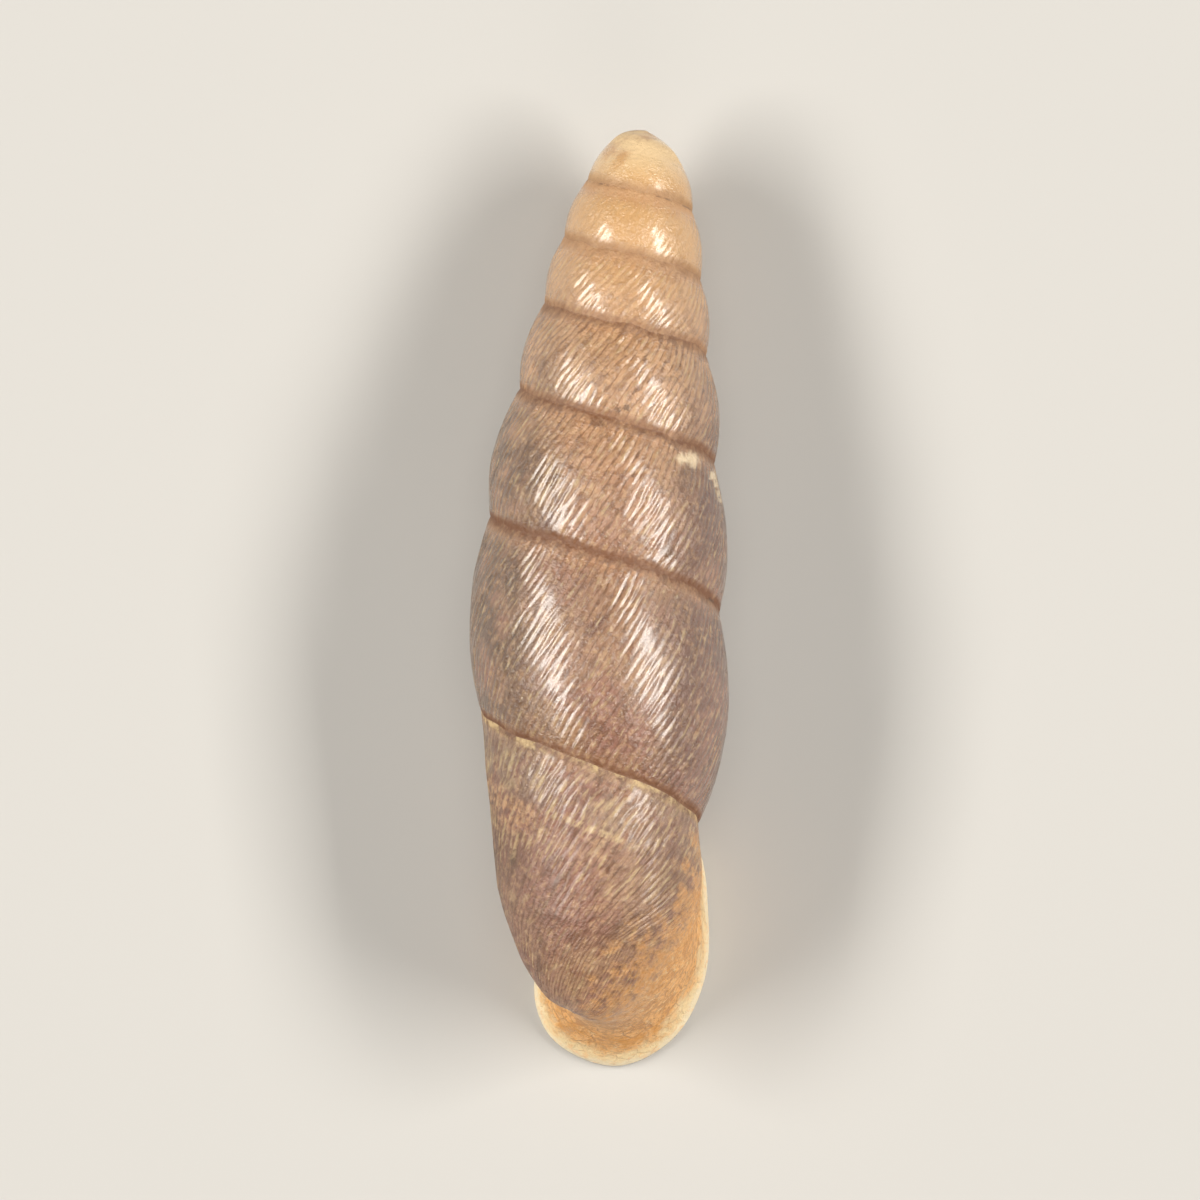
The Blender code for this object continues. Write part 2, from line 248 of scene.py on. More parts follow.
def rib_trail(t, row):
    """How far behind its top a rib's row lies, in turns: a steady lean that turns into the mouth's edge."""
    lean = UPPER_RIB_LEAN + (RIB_LEAN - UPPER_RIB_LEAN) * smooth(TURNS - 2.1, TURNS - 1.5, t)
    lean = lean + (LAST_RIB_LEAN - RIB_LEAN) * smooth(TURNS - 1.3, TURNS - 0.9, t)
    on_base = BASE_LEAN * (np.maximum(row, 1) - 1)
    own = smooth(-1, 0.5, t) * lean * (np.minimum(row, 1) + on_base * smooth(TURNS - 0.85, TURNS - 0.6, t))
    return own + (trail(t, row) - own) * smooth(TURNS - 0.3, TURNS, t)


def place(at, r, d, straight):
    """A point of the half plane at a turn, in the lying frame: right, depth from the tip, up."""
    angle = 2 * math.pi * (at - TURNS + MOUTH_AZIMUTH)
    right, back = r * np.sin(angle), r * np.cos(angle)
    right = right + np.where(at > RIGHT_SIDE, straight, 0) * (r - right)
    right = right + spline(BEND, d / BEND_STEP)
    c, s = math.cos(TIP_DOWN), math.sin(TIP_DOWN)
    return np.stack([right, d * c - back * s, back * c + d * s], axis=-1)


def wall(t, row, behind=trail):
    """A point of the outer wall, on the growth line that starts t turns from the tip."""
    t, row = np.broadcast_arrays(np.asarray(t, float), np.asarray(row, float))
    at = t - behind(t, row)
    r, d = profile(at, row)
    return place(at, r, d, smooth(0.1, 0.5, row) * (1 - smooth(1.4, 2.0, row)))


def ring_shares(rows):
    """How far round the mouth each row of its edge lies: down the side, along the base, back up inside."""
    return MOUTH_SHARE * rows / 2, 1 - (1 - MOUTH_SHARE) * (rows - 1)


def hollow(t, u):
    """A ring of the tube's hollow, rounded, a wall's thickness inside each face of the whorl."""
    bottom, inner = MOUTH_SHARE / 2, MOUTH_SHARE
    down = np.interp(u, (0, bottom, inner, (inner + 1) / 2), (0, 1, 1, 0))
    at = t - trail(t, down)
    radius = profile(at, 0.5)[0]
    thick = np.minimum(WALL, THIN_WALL_SHARE * radius)
    shared = np.minimum(SHARED_WALL, thick)
    under = shared + (thick - shared) * smooth(TURNS - 1.15, TURNS - 0.8, at)
    centre_r = HOLLOW_MIDDLE * radius
    centre_d = (underside(at - 1, HOLLOW_ROOF)[1] + underside(at, HOLLOW_ROOF)[1]) / 2
    corners = suture(t), suture(t + 1), underside(t, 1.0)
    upper, lower, end = (math.atan2(d - centre_d[0], r - centre_r[0]) for r, d in corners)
    angle = np.interp(u, (0, bottom, inner, 1), (upper, lower, end, upper + 2 * math.pi))
    x, y = np.cos(angle), np.sin(angle)
    faces = [(profile, at, row, 1, thick) for row in (0.2, 0.5, 0.8)]
    faces += [(profile, at, row, 1, under) for row in (1.25, 1.6)]
    faces.append((underside, at - 1, HOLLOW_ROOF, -1, shared))
    crowding = np.zeros_like(x)
    for face, turn, where, outward, inset_by in faces:
        r, d = face(turn, where)
        r_next, d_next = face(turn, where + 0.01)
        out_r, out_d = outward * (d_next - d), -outward * (r_next - r)
        size = np.hypot(out_r, out_d)
        room = (out_r * (r - centre_r) + out_d * (d - centre_d)) / size - inset_by
        crowding += (np.maximum((out_r * x + out_d * y) / size, 0) / room) ** CORNER_SHARPNESS
    columella = COLUMELLA_SHARE * radius * (1 + smooth(TURNS - 1, TURNS - 0.3, at))
    crowding += (np.maximum(-x, 0) / (centre_r - columella)) ** CORNER_SHARPNESS
    reach = crowding ** (-1 / CORNER_SHARPNESS)
    r, d = centre_r + reach * x, centre_d + reach * y
    return place(at, r, d, smooth(0.1, 0.5, down) * smooth(0, 0.6, r / radius))


def lip_ring(u, out, up, floor):
    """A ring that follows the lip's edge, a little out from it and up from the floor it lies on."""
    step = 0.004
    edge = spline(LIP, u * len(LIP), closed=True)
    run = spline(LIP, (u + step) * len(LIP), closed=True) - edge
    run /= np.linalg.norm(run, axis=-1, keepdims=True)
    edge = edge + np.reshape(out, (-1, 1)) * np.stack([run[:, 1], -run[:, 0]], axis=-1)
    return np.column_stack([edge, np.broadcast_to(floor + up, len(u))])


def neck(first, before_first, last, before_last, easing, steps):
    """Rings from the coil's end to the lip, which leave and arrive along the surfaces that they join."""
    reach = np.linalg.norm(last - first, axis=1, keepdims=True)
    leaving, arriving = first - before_first, last - before_last
    leaving *= reach / (np.linalg.norm(leaving, axis=1, keepdims=True) + 1e-9)
    arriving *= reach / np.linalg.norm(arriving, axis=1, keepdims=True)
    leaving = leaving * easing + (last - first) * (1 - easing)
    return [hermite(first, last, leaving, arriving, k / steps) for k in range(1, steps + 1)]


def inset(ring, next_ring):
    """A ring moved a wall's thickness into the tube, square to the outside."""
    along = next_ring - ring
    ahead = np.cross(np.roll(ring, -1, axis=0) - ring, along)
    behind = np.cross(ring - np.roll(ring, 1, axis=0), along)
    ahead /= np.linalg.norm(ahead, axis=1, keepdims=True)
    behind /= np.linalg.norm(behind, axis=1, keepdims=True)
    middle = ahead + behind
    middle /= np.linalg.norm(middle, axis=1, keepdims=True)
    corner = np.maximum((middle * ahead).sum(axis=1, keepdims=True), SHARPEST_CORNER)
    return ring + middle * NECK_WALL / corner


def raise_folds(ring, u, inward):
    """Push a ring in at each fold. Inward counts from 0 at the lip to 1 at the coil's end, then turns."""
    centre = ring.mean(axis=0)
    ring = ring.copy()
    for row, height, start, stop in FOLDS:
        share = ring_shares(np.array(row))[1]
        away = (u - share) / (FOLD_HALF_WIDTH * (1 - MOUTH_SHARE))
        rise = height * smooth(start, start + FOLD_END, inward) * (1 - smooth(stop - FOLD_END, stop, inward))
        push = rise * np.exp(-(away**2) * 3)[:, None]
        run = centre - ring
        ring += push * run / np.linalg.norm(run, axis=1, keepdims=True)
    return ring


class Skin:
    """The points and faces of the fine surface, with what is known at each point."""

    def __init__(self):
        self.points, self.faces, self.facts = [], [], []

    def add(self, points, turn=TURNS, row=0.0, reach=0.0, around=0.0):
        """Turn and row place a point on the coil. Reach is 0 there, and 1 where the lip's flare starts.

        It goes on by one for each ring of the lip, then with the turns inside. Around is a share of a ring.
        """
        points = np.asarray(points, float).reshape(-1, 3)
        first = len(self.points)
        self.points.extend(points)
        facts = np.broadcast_arrays(turn, row, reach, around, np.zeros(len(points)))[:4]
        self.facts.extend(np.stack(facts, axis=1))
        return list(range(first, first + len(points)))

    def face(self, *corners):
        kept = [c for i, c in enumerate(corners) if c != corners[i - 1]]
        if len(kept) > 2:
            self.faces.append(kept)

    def strip(self, left, right, closed=False):
        """Faces between two columns of points that run down, or between two rings."""
        count = len(left)
        for i in range(count if closed else count - 1):
            j = (i + 1) % count
            self.face(left[i], left[j], right[j], right[i])

    def lace(self, upper, lower):
        """Triangles between two rows of (turn, point) that don't step together."""
        i = j = 0
        while i + 1 < len(upper) or j + 1 < len(lower):
            upper_is_done = i + 1 == len(upper)
            if upper_is_done or (j + 1 < len(lower) and lower[j + 1][0] <= upper[i + 1][0]):
                self.face(upper[i][1], lower[j][1], lower[j + 1][1])
                j += 1
            else:
                self.face(upper[i][1], lower[j][1], upper[i + 1][1])
                i += 1


def ribs_up_to(t):
    """How many ribs there are from the tip to a turn, as a fraction, for an array of turns."""
    at = np.linspace(-1, TURNS, CURVE_SAMPLES)
    per_turn = 2 * math.pi * (profile(at, 0.5)[0] + ADDED_RADIUS) / RIB_SPACING
    count = np.cumsum(per_turn) * (at[1] - at[0])
    count *= math.floor(count[-1]) / count[-1]
    return np.interp(t, at, count)


def growth_lines():
    """Turns at which the surface has a column, a few to each rib, before the last seam's end and after."""
    at = np.linspace(-1, TURNS, 2 * CURVE_SAMPLES)
    count = ribs_up_to(at)
    steps = round(count[-1] * STEPS_PER_RIB)
    turns = np.interp(np.arange(1, steps + 1) / STEPS_PER_RIB, count, at)
    seam_end = TURNS - 1
    for _ in range(SEAM_PASSES):
        seam_end = float(TURNS - 1 + rib_trail(seam_end, 1.0))
    margin = CLEAR_SHARE / STEPS_PER_RIB / (count[-1] - count[-2]) * (at[1] - at[0])
    before = [-1.0] + [t for t in turns if t < seam_end - margin] + [seam_end]
    return before, [t for t in turns if t > seam_end + margin]


def rows_down(steps):
    """Rows from 0 to 1, closer together near the seams."""
    even = np.linspace(0, 1, steps + 1)
    return (1 - SEAM_CROWDING) * even + SEAM_CROWDING * (0.5 - 0.5 * np.cos(math.pi * even))


def outer_wall(skin):
    """The wall from the tip to the mouth. Returns the edge that it leaves open there, as a ring."""
    side = rows_down(SIDE_STEPS)[:-1]
    base_rows = 1 + np.linspace(0, 1, BASE_STEPS + 1)[:-1]
    before, after = growth_lines()
    tip = skin.add(wall(-1.0, 0.0, rib_trail), turn=-1.0)
    navel = skin.add(wall(TURNS, 2.0, rib_trail), row=2.0)
    columns = []
    for t in before + after:
        if t == -1:
            columns.append(tip * len(side))
            continue
        top = tip if t <= 0 else skin.add(wall(t, 0.0, rib_trail), turn=t)
        columns.append(top + skin.add(wall(t, side[1:], rib_trail), turn=t, row=side[1:]))
    for left, right in zip(columns, columns[1:]):
        skin.strip(left, right)
    upper = [(t - rib_trail(t, side[-1]) + 1, column[-1]) for t, column in zip(before, columns)]
    lower = [(t, column[0]) for t, column in zip(before + after, columns) if t >= 0]
    skin.lace(upper, lower)
    seam, mouth = columns[len(before) - 1], columns[-1]
    back = skin.add(wall(before[-1], base_rows[1:], rib_trail), turn=before[-1], row=base_rows[1:])
    inner = [seam[-1], mouth[0]] + back + navel
    base = [inner]
    for t, column in zip(after, columns[len(before) :]):
        base.append([column[-1]] + skin.add(wall(t, base_rows, rib_trail), turn=t, row=base_rows) + navel)
    for left, right in zip(base, base[1:]):
        skin.strip(left, right)
    edge = mouth + base[-1][1:] + inner[-2:1:-1]
    rows_back = np.concatenate([[2.0], base_rows[:0:-1]])
    return edge, np.concatenate([side, base_rows]), rows_back


def between(rings, steps):
    """The rings with more of them, along smooth curves through each point's places."""
    rings = np.array(rings)
    return list(spline(rings, np.arange(1, (len(rings) - 1) * steps + 1) / steps))


def surface():
    """The whole shell before its relief, its floor, and where its mouth's points lie round the mouth."""
    skin = Skin()
    edge, rows_on, rows_back = outer_wall(skin)
    floor = min(point[2] for point in skin.points)
    u = np.concatenate([ring_shares(rows_on)[0], ring_shares(rows_back)[1]])
    length = SHORTEST_FLARE + (1 - SHORTEST_FLARE) * np.sin(math.pi * u) ** 2
    spread = spline(SPREAD, u * len(SPREAD), closed=True)
    flare = [lip_ring(u, out * spread, up * length, floor) for out, up in FLARE]
    rim = [lip_ring(u, out, up, floor) for out, up in RIM]
    throat = [lip_ring(u, out, up * length, floor) for out, up in THROAT]
    easing = smooth(0.2, 0.7, rows_on) * (1 - smooth(1.2, 1.9, rows_on))
    easing = np.concatenate([easing, 0 * rows_back])[:, None]
    start = np.array(skin.points)[edge]
    before_start = start.copy()
    before_start[: len(rows_on)] = wall(TURNS - NECK_LOOKS_BACK, rows_on)
    before_flare = 2 * flare[0] - flare[1]
    coarse = neck(start, before_start, flare[0], before_flare, easing, NECK_RINGS)
    fine = neck(start, before_start, flare[0], before_flare, easing, NECK_RIBS * STEPS_PER_RIB)
    stages = [start] + coarse + flare[1:2]
    inside = [inset(ring, next_ring) for ring, next_ring in zip(stages, stages[1:])]
    rings = [edge]
    for k, ring in enumerate(fine):
        rings.append(skin.add(ring, reach=(k + 1) / len(fine), around=u))
    for k, ring in enumerate(between(flare + rim + throat, RIM_STEPS)):
        ring[:, 2] = np.maximum(ring[:, 2], floor)
        rings.append(skin.add(ring, reach=1 + (k + 1) / RIM_STEPS, around=u))
    turns = np.arange(TURNS - TUBE_JOINS, HOLLOW_STARTS, -1 / HOLLOW_RINGS_PER_TURN)
    tube = throat[-2:] + inside[::-1] + [hollow(t, u) for t in turns[:2]]
    neck_end = len(inside)
    for k, ring in enumerate(between(tube, INSIDE_STEPS)[INSIDE_STEPS:-INSIDE_STEPS], start=1):
        inward = np.interp(k / INSIDE_STEPS, (0, neck_end, neck_end + 1), (0, 1, 1 + TUBE_JOINS))
        rings.append(skin.add(raise_folds(ring, u, inward), reach=LIP_END + inward, around=u))
    for t in turns[1:]:
        ring = raise_folds(hollow(t, u), u, 1 + TURNS - t)
        rings.append(skin.add(ring, reach=LIP_END + 1 + TURNS - t, around=u))
    for first, second in zip(rings, rings[1:]):
        skin.strip(first, second, closed=True)
    end = skin.add(np.array(skin.points)[rings[-1]].mean(axis=0), reach=LIP_END + TURNS)
    skin.strip(rings[-1], end * len(u), closed=True)
    return skin, floor, dict(zip(edge, u))


def wave(x, y, seed):
    """Smooth, uneven ripples between -1 and 1 over a plane, the same each run."""
    total = np.zeros_like(x)
    for k in range(5):
        angle = seed * 2.4 + k * 1.9
        size = 1 + 0.37 * k
        total += np.sin(size * (x * math.cos(angle) + y * math.sin(angle)) + seed * 1.7 + k * k)
    return total / 3


def normals(points, faces):
    total = np.zeros_like(points)
    for count in (3, 4):
        corners = np.array([face for face in faces if len(face) == count])
        a, b, c, d = (points[corners[:, k]] for k in (0, 1, 2, -1))
        square = np.cross(c - a, d - b) if count == 4 else np.cross(b - a, c - a)
        for k in range(count):
            np.add.at(total, corners[:, k], square)
    return total / np.maximum(np.linalg.norm(total, axis=1, keepdims=True), 1e-12)


def ripples(layers, count, across):
    """Layers of ripples added up, for arrays of ribs from the tip and of mm down the whorl."""
    total = 0
    for height, to_rib, to_mm, seed in layers:
        total += height * wave(count * to_rib, across * to_mm, seed)
    return total


def rib_size(turn, row, reach, across, count):
    """How high the ribs stand, as a share of their full height, for arrays of points."""
    on_neck = reach > 0
    size = np.clip(RIB_SHARE + ripples(RIB_CHANGES, count, across), LEAST_RIB, MOST_RIB)
    size *= smooth(0.6, 3.4, turn) * (1 - smooth(0.3, 0.9, reach))
    off_seam = smooth(0.06, 0.26, across) * (1 - 0.5 * smooth(1.2, 1.9, row))
    size *= np.where(on_neck, 0.5, off_seam)
    turning_under = smooth(TURNS - 0.6, TURNS - 0.35, turn) * np.exp(-(((row - 1.02) / 0.22) ** 2))
    size *= 1 - 0.8 * np.where(on_neck, 0, turning_under)
    last_shoulder = smooth(TURNS - 1, TURNS - 0.9, turn) * (1 - smooth(0.6, 0.95, row))
    size *= np.where(on_neck, 1, 1 + 0.5 * last_shoulder)
    hidden_under = (row > 1) & (turn < TURNS - 0.95)
    return size * np.where(hidden_under, 0.3, 1)


def relief(turn, row, reach, around, across):
    """How far each point is sunk below the smooth surface, in mm, and how much of a rib's crest it is."""
    on_neck = reach > 0
    count = ribs_up_to(turn) + reach * NECK_RIBS
    wave_phase = 2 * math.pi * (count + ripples(RIB_WOBBLE, count, across))
    crest = (0.5 + 0.5 * np.cos(wave_phase)) ** RIB_SHARPNESS
    size = rib_size(turn, row, reach, across, count)
    swell = ripples(SWELLS, count, across) * smooth(0.5, 2.5, turn) * (1 - smooth(0.3, 1.2, reach))
    swell *= np.where(on_neck, 1, smooth(0, 0.12, row) * (1 - smooth(0.9, 1.0, row) * (row <= 1)))
    rough = NECK_ROUGHNESS * wave(reach * 9, around * 60, 6)
    rough *= smooth(0.5, 1.1, reach) * (1 - smooth(3.5, 5, reach))
    groove = np.exp(-((row / 0.03) ** 2)) + np.exp(-(((1 - row) / 0.035) ** 2)) * (turn < TURNS - 0.9)
    groove *= np.where(on_neck, 0, SEAM_GROOVE * (0.7 + 0.5 * wave(turn * 30, row, 7)))
    inside = reach > len(FLARE) + 4
    sunk = np.where(inside, 0, RIB_HEIGHT * size * (1 - crest) + np.abs(swell) + groove - rough)
    return sunk, np.where(inside, 0, crest * size)


def unrolled(skin, edge_shares):
    """Each face's corners on the skin rolled out flat, in strips: one to a turn, then the other parts."""
    tops = np.cumsum((0,) + STRIP_HEIGHTS) / sum(STRIP_HEIGHTS)
    turns = np.array(skin.facts)[:, 0]
    seam_turns = turns - 1
    for _ in range(UNROLLING_PASSES):
        seam_turns = turns - 1 + rib_trail(seam_turns, 1.0)
    deepest = max(facts[2] for facts in skin.facts)
    flat = []
    for face in skin.faces:
        facts = [tuple(skin.facts[i]) for i in face]
        reach = sum(f[2] for f in facts) / len(facts)
        if reach > 0:
            across = [edge_shares[i] if f[2] == 0 else f[3] for i, f in zip(face, facts)]
            if facts[-1][2] == deepest:
                across[-1] = sum(across[:-1]) / (len(face) - 1)
            if max(across) - min(across) > 0.5:
                across = [a + (a < 0.5) for a in across]
            strip = COIL_STRIPS + (1 if reach < 1 else 2 if reach < LIP_END else 3)
            first, last = {1: (0, 1), 2: (1, LIP_END), 3: (LIP_END, deepest)}[strip - COIL_STRIPS]
            down = [(f[2] - first) / (last - first) for f in facts]
        else:
            at_seam = max(f[1] for f in facts) > 0.9
            corners = []
            for i, f in zip(face, facts):
                corners.append((seam_turns[i], 1.0) if at_seam and f[1] < 0.05 else f[:2])
            known = [t for t, row in corners if t > -1 and row < 2]
            middle = sum(known) / len(known)
            across = [middle if t <= -1 or row == 2 else t for t, row in corners]
            down = [row for t, row in corners]
            strip = math.floor(middle - TURNS + COIL_STRIPS)
            if sum(down) / len(down) > 1:
                strip = COIL_STRIPS
                down = [row - 1 for row in down]
                across = [t - TURNS + 1 for t in across]
            else:
                across = [t - TURNS + COIL_STRIPS - strip for t in across]
        top, height = tops[strip], tops[strip + 1] - tops[strip]
        for a, d in zip(across, down):
            flat.append(SIDE_GAP + (1 - 2 * SIDE_GAP) * a)
            flat.append(top + height * (STRIP_GAP + (1 - 2 * STRIP_GAP) * d))
    return flat


def wavy_seams(turn, row, reach, whorl):
    """How far each point lies towards the tip because its seam isn't quite even, in mm."""
    on_spiral = np.where(row < 0.5, turn, turn - rib_trail(turn, row) + 1)
    wavy = SEAM_WAVE * wave(on_spiral * 45, on_spiral * 20, 8) * smooth(1, 3, on_spiral) * (reach == 0)
    near = np.exp(-((row * whorl / SEAM_REACH) ** 2))
    near += np.exp(-(((1 - row) * whorl / SEAM_REACH) ** 2)) * (turn < TURNS - 0.95)
    return wavy * near * (1 - smooth(TURNS - 0.25, TURNS, on_spiral))


def make_shell():
    skin, floor, edge_shares = surface()
    points = np.array(skin.points)
    turn, row, reach, around = np.array(skin.facts).T
    middle = (points.max(axis=0) + points.min(axis=0)) / 2
    points = np.column_stack([points[:, 0] - middle[0], middle[1] - points[:, 1], points[:, 2] - floor])
    whorl = suture(turn + 1)[1] - suture(turn)[1]
    across = np.where(reach > 0, around * MOUTH_GIRTH, row * whorl)
    sunk, crest = relief(turn, row, reach, around, across)
    points -= normals(points, skin.faces) * sunk[:, None]
    points[:, 1] += wavy_seams(turn, row, reach, whorl)
    points[:, 2] = np.maximum(points[:, 2], 0)
    mesh = bpy.data.meshes.new("shell_surface")
    mesh.from_pydata((points * MM).tolist(), [], skin.faces)
    mesh.shade_smooth()
    mesh.uv_layers.new(name="OFBake").data.foreach_set("uv", unrolled(skin, edge_shares))
    on_crease = (reach == 0) & (row < 0.001)
    has_no_seam = (reach > 0) | (turn > TURNS - 0.87)
    facts = {
        "turn": turn,
        "reach": reach,
        "crest": crest,
        "below_seam": np.where(reach > 0, NO_SEAM, row * whorl),
        "above_seam": np.where(on_crease, 0, np.where(has_no_seam, NO_SEAM, np.abs(1 - row) * whorl)),
        "depth": middle[1] - points[:, 1],
    }
    for name, values in facts.items():
        layer = mesh.attributes.new(name, "FLOAT", "POINT")
        layer.data.foreach_set("value", values.astype(np.float32))
    grain = np.column_stack([ribs_up_to(turn) + reach * NECK_RIBS, across, 0 * row])
    layer = mesh.attributes.new("grain", "FLOAT_VECTOR", "POINT")
    layer.data.foreach_set("vector", grain.astype(np.float32).ravel())
    shell = bpy.data.objects.new("shell_surface", mesh)
    bpy.context.scene.collection.objects.link(shell)
    return shell


def srgb(red, green, blue):
    """A screen colour as the linear one that Blender mixes."""
    parts = [c / 255 for c in (red, green, blue)]
    return tuple(c / 12.92 if c <= 0.04045 else ((c + 0.055) / 1.055) ** 2.4 for c in parts) + (1.0,)


# Colours, as they look in even light. Some of them paint shade, highlights or reflection onto the surface,
# as said where they are used.
PINK_BROWN = srgb(170, 121, 102)
RED_BROWN = srgb(150, 94, 72)
TAN_BROWN = srgb(182, 139, 106)
# The next two colours are painted shade and reflection on the whorls' left and right edges; the first also
# colours one dark speck.
OLIVE_BROWN = srgb(104, 70, 38)
MAUVE_EDGE_SHADE = srgb(114, 72, 60)
BAND_GREY = srgb(170, 138, 114)
CREST_CREAM = srgb(244, 215, 160)
VALLEY_BROWN = srgb(108, 66, 38)
PALE_GRAIN = srgb(230, 187, 138)
SPIRE_TAN = srgb(238, 186, 138)
SPIRE_HONEY = srgb(238, 186, 122)
TIP_CREAM = srgb(232, 200, 154)
# Partly the seams' ochre colour, partly painted shade in their crease.
SEAM_OCHRE_AND_SHADE = srgb(126, 72, 24)
SEAM_TAN = srgb(216, 162, 118)
# Painted shade under each whorl's overhanging edge.
SEAM_SHADE_BROWN = srgb(156, 106, 68)
# Partly the last whorl's pale edge, partly painted glints along its seam.
SEAM_CREAM = srgb(240, 206, 150)
LIP_TAN = srgb(247, 183, 106)
LIP_VEIN = srgb(160, 94, 36)
LIP_CREAM = srgb(248, 219, 168)
LIP_WHITE = srgb(244, 226, 192)
STAIN = srgb(224, 150, 50)
THROAT_BROWN = srgb(160, 104, 70)
WORN_WHITE = srgb(246, 222, 184)
PIT_BROWN = srgb(84, 54, 34)
BODY_SHADE = srgb(24, 12, 8)


class Paint:
    """A material's nodes, made by short calls. A value is a number, a colour or another node's output."""

    def __init__(self, name):
        self.material = bpy.data.materials.new(name)
        self.material.use_nodes = True
        self.tree = self.material.node_tree
        self.surface = self.tree.nodes["Principled BSDF"]

    def feed(self, socket, value):
        if isinstance(value, bpy.types.NodeSocket):
            self.tree.links.new(value, socket)
        else:
            socket.default_value = value

    def node(self, kind, values, **settings):
        node = self.tree.nodes.new(kind)
        for name, setting in settings.items():
            setattr(node, name, setting)
        for socket, value in values.items():
            self.feed(node.inputs[socket], value)
        return node

    def fact(self, name, output="Fac"):
        return self.node("ShaderNodeAttribute", {}, attribute_name=name).outputs[output]

    def place(self):
        """The surface's own place, in mm."""
        own = self.node("ShaderNodeTexCoord", {}).outputs["Object"]
        return self.node("ShaderNodeVectorMath", {0: own, "Scale": 1 / MM}, operation="SCALE").outputs[0]

    def stretch(self, where, x, y, z):
        return self.node("ShaderNodeVectorMath", {0: where, 1: (x, y, z)}, operation="MULTIPLY").outputs[0]

    def maths(self, operation, first, second):
        return self.node("ShaderNodeMath", {0: first, 1: second}, operation=operation).outputs[0]

    def step(self, value, low, high):
        """0 at low, 1 at high, smooth between them. High may be the lower number."""
        turned = low > high
        values = {"Value": value, "From Min": min(low, high), "From Max": max(low, high)}
        values |= {"To Min": float(turned), "To Max": float(not turned)}
        return self.node("ShaderNodeMapRange", values, interpolation_type="SMOOTHSTEP").outputs[0]

    def noise(self, where, scale, detail, roughness=0.5, distortion=0.0):
        values = {"Vector": where, "Scale": scale, "Detail": detail}
        values |= {"Roughness": roughness, "Distortion": distortion}
        return self.node("ShaderNodeTexNoise", values).outputs["Fac"]

    def cracks(self, where, scale):
        values = {"Vector": where, "Scale": scale}
        return self.node("ShaderNodeTexVoronoi", values, feature="DISTANCE_TO_EDGE").outputs["Distance"]

    def frayed(self, value, noise, amount):
        """A value pushed up or down by a noise, by half the amount at most, so that its edges are ragged."""
        return self.maths("ADD", value, self.both(self.maths("SUBTRACT", noise, 0.5), amount))

    def both(self, *shares):
        result = shares[0]
        for share in shares[1:]:
            result = self.maths("MULTIPLY", result, share)
        return result

    def mix(self, share, under, over):
        return self.node("ShaderNodeMix", {0: share, 6: under, 7: over}, data_type="RGBA").outputs[2]

    def axis(self, where, name):
        return self.node("ShaderNodeSeparateXYZ", {0: where}).outputs[name]


# The photograph's frame: px of its 1200 to a mm, the shell's lean in it, and the place in its middle.
PX_PER_MM = 66.54
PHOTO_SIDE = 1200
LEAN = math.radians(5.0)
AIM = (-0.077, -0.047)
CAMERA_HEIGHT = 0.30


def on_photo(x, y):
    """The place on the shell's upper side, in mm, that a pixel of the photograph shows."""
    right, up = (x - PHOTO_SIDE / 2) / PX_PER_MM, (PHOTO_SIDE / 2 - y) / PX_PER_MM
    c, s = math.cos(LEAN), math.sin(LEAN)
    return AIM[0] + right * c - up * s, AIM[1] + right * s + up * c


# Worn and dark places: pixel of the photograph, full and faded radius in mm, colour.
MARKS = (
    ((691, 461), 0.04, 0.15, WORN_WHITE),
    ((681, 460), 0.02, 0.13, WORN_WHITE),
    ((713, 477), 0.03, 0.10, WORN_WHITE),
    ((717, 485), 0.03, 0.10, WORN_WHITE),
    ((720, 493), 0.03, 0.10, WORN_WHITE),
    ((722, 501), 0.02, 0.09, WORN_WHITE),
    ((626, 410), 0.03, 0.08, PIT_BROWN),
    ((617, 413), 0.01, 0.07, PIT_BROWN),
    ((667, 555), 0.02, 0.12, OLIVE_BROWN),
    ((709, 601), 0.01, 0.07, PIT_BROWN),
    ((645, 848), 0.02, 0.07, VALLEY_BROWN),
    ((608, 869), 0.01, 0.07, VALLEY_BROWN),
    ((610, 1020), 0.03, 0.14, STAIN),
)
# How ragged their edges are, in mm, and the heights between which they fade in. None is on the underside.
SPOT_FRAY = 0.22
SPOT_HEIGHTS = (2.0, 2.3)

# Where colours fade in, from none to all: turns from the tip, mm from the tip, and mm to the right.
LAST_WHORL = (TURNS - 1.0, TURNS - 0.9)
RIBBED_WHORLS = (2.0, 4.0)
OCHRE_SEAMS = (3.0, 5.6)
SPIRE = (7.6, 3.0)
FIRST_WHORLS = (3.4, 0.9)
EDGE_SHADED_WHORLS = (1.5, 5.5)
# The left and right edges that get painted shade and reflection, in mm to the right.
SHADED_LEFT_EDGE = (-0.4, -1.5)
SHADED_RIGHT_EDGE = (0.6, 1.6)
RIB_ANGLE = math.radians(36)

# Gloss: the roughness where it is least, what grain and dull places add, and the clear coat over it.
LEAST_ROUGHNESS = 0.15
GRAIN_ROUGHNESS = 0.20
DULL_ROUGHNESS = 0.32
COAT_WEIGHT = 0.95
COAT_ROUGHNESS = 0.2
REFRACTION = 1.8
BUMP_STRENGTH = 0.75
BUMP_HEIGHT = 0.042


